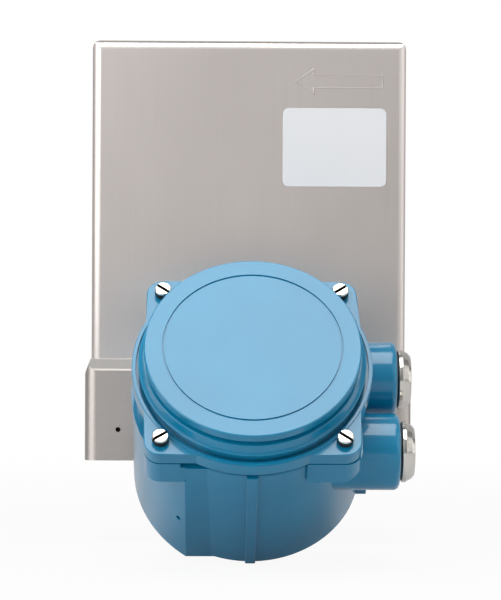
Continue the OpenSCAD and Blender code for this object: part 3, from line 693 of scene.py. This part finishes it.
def dressShroud():
    # Folded and welded steel, with painted shade on the upward-sloping faces of its shoulders
    size = shroudEdges
    top = localBox("base_shroud", toMeter)[1].z

    def shoulder(p, r):
        return top - size["shoulderLow"] < p.z < top - size["shoulderHigh"]

    bm = mergedCopy("base_shroud")
    roundEdges(bm, toMeter, size["shoulder"], shoulder, minAngle=15, segments=4)
    roundEdges(bm, toMeter, size["top"], lambda p, r: p.z > top - 1, minAngle=15)
    mesh = dressNode(bm, "base_shroud").data
    mesh.materials.append(pickled)
    # the large faces that slope upwards take the painted shade
    for face in mesh.polygons:
        if 0.25 < face.normal.z < 0.9 and face.area > size["shadedArea"] * mm * mm:
            face.material_index = 1


dressShroud()

# Ports

portThread = {
    "radius": 9.3,
    "length": 16.3,
    "lead": 0.9,        # plain mouth before the thread
    "pitch": 1.814,
    "depth": 1.1,
}


def dressManifold(nodeName):
    # Pipe thread in the mouth of the port
    size = portThread
    end = localBox("base_shroud", toPort)[1].z
    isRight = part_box(nodeName)[0][0] > meterMiddle.x
    toMouth = toPort if isRight else Matrix.Rotation(pi, 4, "Y") @ toPort
    bm = mergedCopy(nodeName)
    cutThread(bm, toMouth, size["radius"], end - size["length"], end - size["lead"],
              size["pitch"], size["depth"])
    dressNode(bm, nodeName)


for nodeName in ("inlet_manifold", "outlet_manifold"):
    dressManifold(nodeName)
print("sensor made")

# The other nodes keep their own solids and take their finish

for nodeName, node in nodes.items():
    if nodeName not in dressed:
        node.data.materials.clear()
        node.data.materials.append(finishes[slotOf[nodeName]])
print("pieces made")

# Camera

cameraSetup = {
    "target": (-0.09139, -0.028, 0.06211),  # the point that the camera looks at
    "distance": 1.4704,
    "yaw": -0.96,           # degrees, turned to the left of +Y
    "pitch": 0.66,          # degrees, looking down
    "roll": 0.29,
    "lens": 155.6,          # millimetres
    "sensorWidth": 36,
}


def makeCamera():
    yaw, pitch, roll = (radians(cameraSetup[key]) for key in ("yaw", "pitch", "roll"))
    forward = Vector((-sin(yaw) * cos(pitch), cos(yaw) * cos(pitch), -sin(pitch)))
    data = bpy.data.cameras.new("camera")
    data.lens = cameraSetup["lens"]
    data.sensor_width = cameraSetup["sensorWidth"]
    data.clip_start, data.clip_end = 0.05, 50
    camera = bpy.data.objects.new("camera", data)
    level = forward.to_track_quat("-Z", "Y").to_matrix().to_4x4()
    place = Matrix.Translation(Vector(cameraSetup["target"]) - forward * cameraSetup["distance"])
    camera.matrix_world = place @ level @ Matrix.Rotation(roll, 4, "Z")
    bpy.context.scene.collection.objects.link(camera)
    bpy.context.scene.camera = camera


makeCamera()

# Floor and backdrop

stageSetup = {
    "floorSize": 12.0,
    "floorDrop": 0.0005,    # below the object's lowest point
    "wallBehind": 3.0,
    "wallHeight": 2.0,
    "paint": "#CFCFD1",
    "floorShown": 0.93,     # share of plain white that the camera sees; the rest keeps the shadow
    "floorMirrored": 0.15,  # the same in metal and glass
    "wallMirrored": 0.35,
    "fadeFrom": 0.15,       # metres from the object; the camera sees only white from fadeTo on
    "fadeTo": 0.8,
}


def stageMaterial(name, shownWhite, mirrorWhite):
    # Matt pale paint, which the camera, and mirrors and glass in their own share, see as white
    material, tree, output = newMaterial(name)
    place = addNode(tree, "ShaderNodeTexCoord").outputs["Object"]
    away = addNode(tree, "ShaderNodeVectorMath", {0: place, 1: meterMiddle}, operation="DISTANCE")
    shown = addNode(tree, "ShaderNodeMapRange", {
        "Value": away.outputs["Value"], "From Min": stageSetup["fadeFrom"],
        "From Max": stageSetup["fadeTo"], "To Min": shownWhite, "To Max": 1.0},
        interpolation_type="SMOOTHSTEP")
    path = addNode(tree, "ShaderNodeLightPath")
    mirror = addNode(tree, "ShaderNodeMath", {
        0: path.outputs["Is Glossy Ray"], 1: path.outputs["Is Transmission Ray"]},
        operation="MAXIMUM")
    mirrored = addNode(tree, "ShaderNodeMath", {0: mirror.outputs["Value"], 1: mirrorWhite},
                       operation="MULTIPLY")
    share = addNode(tree, "ShaderNodeMath", {
        0: path.outputs["Is Camera Ray"], 1: shown.outputs["Result"],
        2: mirrored.outputs["Value"]}, operation="MULTIPLY_ADD")
    paint = addNode(tree, "ShaderNodeBsdfDiffuse", {"Color": linear(stageSetup["paint"])})
    white = addNode(tree, "ShaderNodeEmission", {"Color": (1, 1, 1, 1), "Strength": 1.0})
    mix = addNode(tree, "ShaderNodeMixShader", {
        0: share.outputs["Value"], 1: paint.outputs["BSDF"], 2: white.outputs["Emission"]})
    tree.links.new(mix.outputs["Shader"], output.inputs["Surface"])
    return material


def addStageSheet(name, turn, place, shownWhite, mirrorWhite):
    bm = bmesh.new()
    bmesh.ops.create_grid(bm, x_segments=1, y_segments=1, size=stageSetup["floorSize"] / 2,
                          matrix=Matrix.Translation(place) @ turn)
    mesh = bpy.data.meshes.new(name)
    bm.to_mesh(mesh)
    bm.free()
    mesh.materials.append(stageMaterial(name + "Paint", shownWhite, mirrorWhite))
    sheet = bpy.data.objects.new(name, mesh)
    bpy.context.scene.collection.objects.link(sheet)
    sheet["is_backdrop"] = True


addStageSheet("floor", Matrix.Identity(4), Vector((0, 0, cadLow[2] - stageSetup["floorDrop"])),
              stageSetup["floorShown"], stageSetup["floorMirrored"])
addStageSheet("backdrop", Matrix.Rotation(pi / 2, 4, "X"),
              Vector((0, stageSetup["wallBehind"], stageSetup["wallHeight"])),
              1.0, stageSetup["wallMirrored"])
print("camera and stage made")

# Light

softboxes = {
    # place, aim, width, height, watts
    "topBox": ((-0.09, -0.58, 1.40), (-0.09, -0.45, 0), 0.95, 1.14, 15.6),
    "leftBox": ((-1.45, -1.15, 0.75), (-0.09, -0.03, 0.12), 1.9, 1.5, 23),
    "rightBox": ((1.25, -1.15, 0.75), (-0.09, -0.03, 0.12), 1.9, 1.5, 5),
    "sideBox": ((1.4, -0.1, 0.30), (-0.09, -0.03, 0.12), 0.9, 1.0, 2.8),
}


def addSoftbox(name, place, aim, width, height, power):
    light = bpy.data.lights.new(name, "AREA")
    light.shape = "RECTANGLE"
    light.size, light.size_y = width, height
    light.energy = power
    lamp = bpy.data.objects.new(name, light)
    lamp.location = place
    lamp.rotation_mode = "QUATERNION"
    lamp.rotation_quaternion = (Vector(aim) - Vector(place)).to_track_quat("-Z", "Y")
    bpy.context.scene.collection.objects.link(lamp)


for name, settings in softboxes.items():
    addSoftbox(name, *settings)

room = {"front": 0.27, "back": 0.08, "ceiling": 0.12}   # brightness; white is 1


def makeWorld():
    # A grey room that is brighter in front of the object and overhead, and white to the camera
    world = bpy.data.worlds.new("studio")
    bpy.context.scene.world = world
    world.use_nodes = True
    tree = world.node_tree
    tree.nodes.clear()
    direction = addNode(tree, "ShaderNodeTexCoord").outputs["Generated"]
    parts = addNode(tree, "ShaderNodeSeparateXYZ", {"Vector": direction})
    walls = addNode(tree, "ShaderNodeMapRange", {
        "Value": parts.outputs["Y"], "From Min": -0.9, "From Max": 0.6,
        "To Min": room["front"], "To Max": room["back"]})
    ceiling = addNode(tree, "ShaderNodeMapRange", {
        "Value": parts.outputs["Z"], "From Min": 0.1, "From Max": 0.6,
        "To Min": 0.0, "To Max": room["ceiling"]})
    light = addNode(tree, "ShaderNodeMath", {
        0: walls.outputs["Result"], 1: ceiling.outputs["Result"]}, operation="ADD")
    isSeen = addNode(tree, "ShaderNodeLightPath").outputs["Is Camera Ray"]
    strength = addNode(tree, "ShaderNodeMath", {0: light.outputs["Value"], 1: isSeen},
                       operation="MAXIMUM")
    paint = addNode(tree, "ShaderNodeBackground", {
        "Color": (1, 1, 1, 1), "Strength": strength.outputs["Value"]})
    addNode(tree, "ShaderNodeOutputWorld", {"Surface": paint.outputs["Background"]})


makeWorld()
bpy.context.scene.view_settings.view_transform = "Standard"
print("lights made")

print("scene ready")
